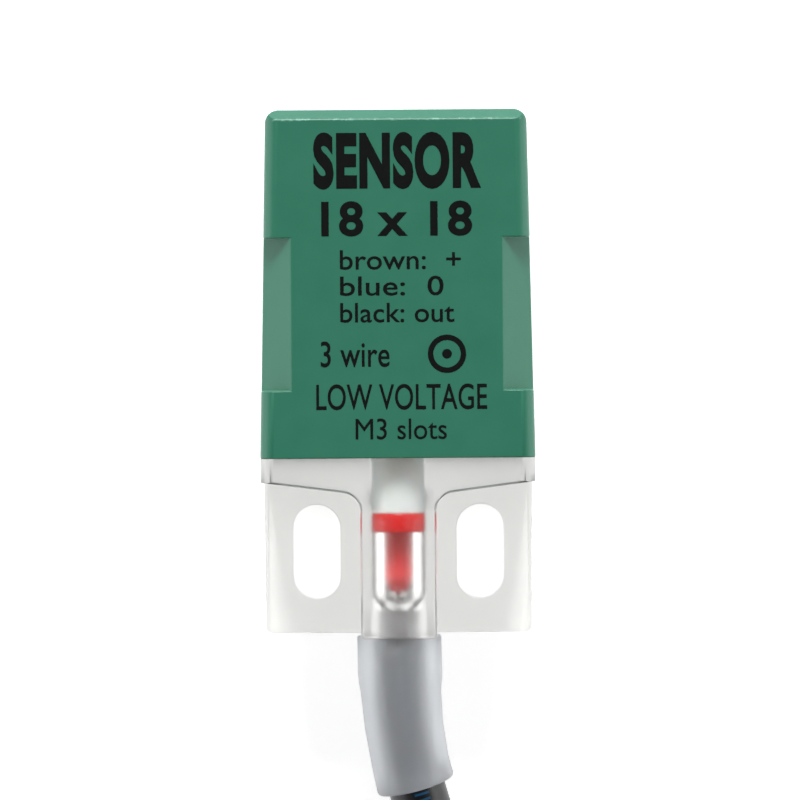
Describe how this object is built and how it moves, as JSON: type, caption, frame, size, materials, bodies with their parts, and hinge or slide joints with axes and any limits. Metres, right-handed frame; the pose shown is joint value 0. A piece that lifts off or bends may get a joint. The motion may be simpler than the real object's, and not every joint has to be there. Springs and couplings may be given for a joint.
{
  "type": "inductive proximity sensor",
  "caption": "Square inductive proximity sensor with a green case, a clear slotted end cap holding a red lamp, and a sleeved cable ending in bare cores.",
  "frame": {"origin": "middle of the sensor's plan, on the surface it lies on; the cable isn't counted", "axes": "+X to the right, +Y towards the sensing end, +Z out of the printed face"},
  "size_m": [0.0387, 0.1213, 0.018],
  "materials": {
    "case_green": "satin",
    "clear_plastic": "gloss",
    "lamp_red": "gloss",
    "ferrite": "matte",
    "bobbin_nylon": "satin",
    "enamelled_copper": "satin",
    "circuit_board": "satin",
    "black_epoxy": "matte",
    "tinned_metal": "satin",
    "resistor_ceramic": "satin",
    "capacitor_ceramic": "satin",
    "tantalum_epoxy": "satin",
    "solder": "gloss",
    "potting_resin": "satin",
    "crimped_brass": "satin",
    "frosted_pvc": "satin",
    "jacket_pvc": "satin",
    "brown_pvc": "satin",
    "blue_pvc": "satin",
    "black_pvc": "satin",
    "tie_nylon": "satin"
  },
  "bodies": {
    "root": {"case": "case_green", "clear_base": "clear_plastic", "indicator_led": "lamp_red", "ferrite_core": "ferrite", "coil_bobbin": "bobbin_nylon", "coil_winding": "enamelled_copper", "coil_leads": "enamelled_copper", "circuit_board": "circuit_board", "sensor_ic": "black_epoxy", "ic_pins": "tinned_metal", "output_transistor": "black_epoxy", "transistor_pins": "tinned_metal", "protection_diodes": "black_epoxy", "diode_terminals": "tinned_metal", "tantalum_capacitor": "tantalum_epoxy", "tantalum_terminals": "tinned_metal", "chip_resistors": "resistor_ceramic", "chip_capacitors": "capacitor_ceramic", "chip_terminals": "tinned_metal", "led_leads": "tinned_metal", "lead_brown": "brown_pvc", "lead_blue": "blue_pvc", "lead_black": "black_pvc", "solder_joints": "solder", "cable_entry": "jacket_pvc", "cable_clamp": "crimped_brass", "potting_resin": "potting_resin", "cable_sleeve": "frosted_pvc", "cable_run": "jacket_pvc", "cable_coil": "jacket_pvc", "cable_tail": "jacket_pvc", "coil_tie": "tie_nylon", "core_brown": "brown_pvc", "core_blue": "blue_pvc", "core_black": "black_pvc", "tinned_end_brown": "tinned_metal", "tinned_end_blue": "tinned_metal", "tinned_end_black": "tinned_metal"}
  },
  "joints": []
}
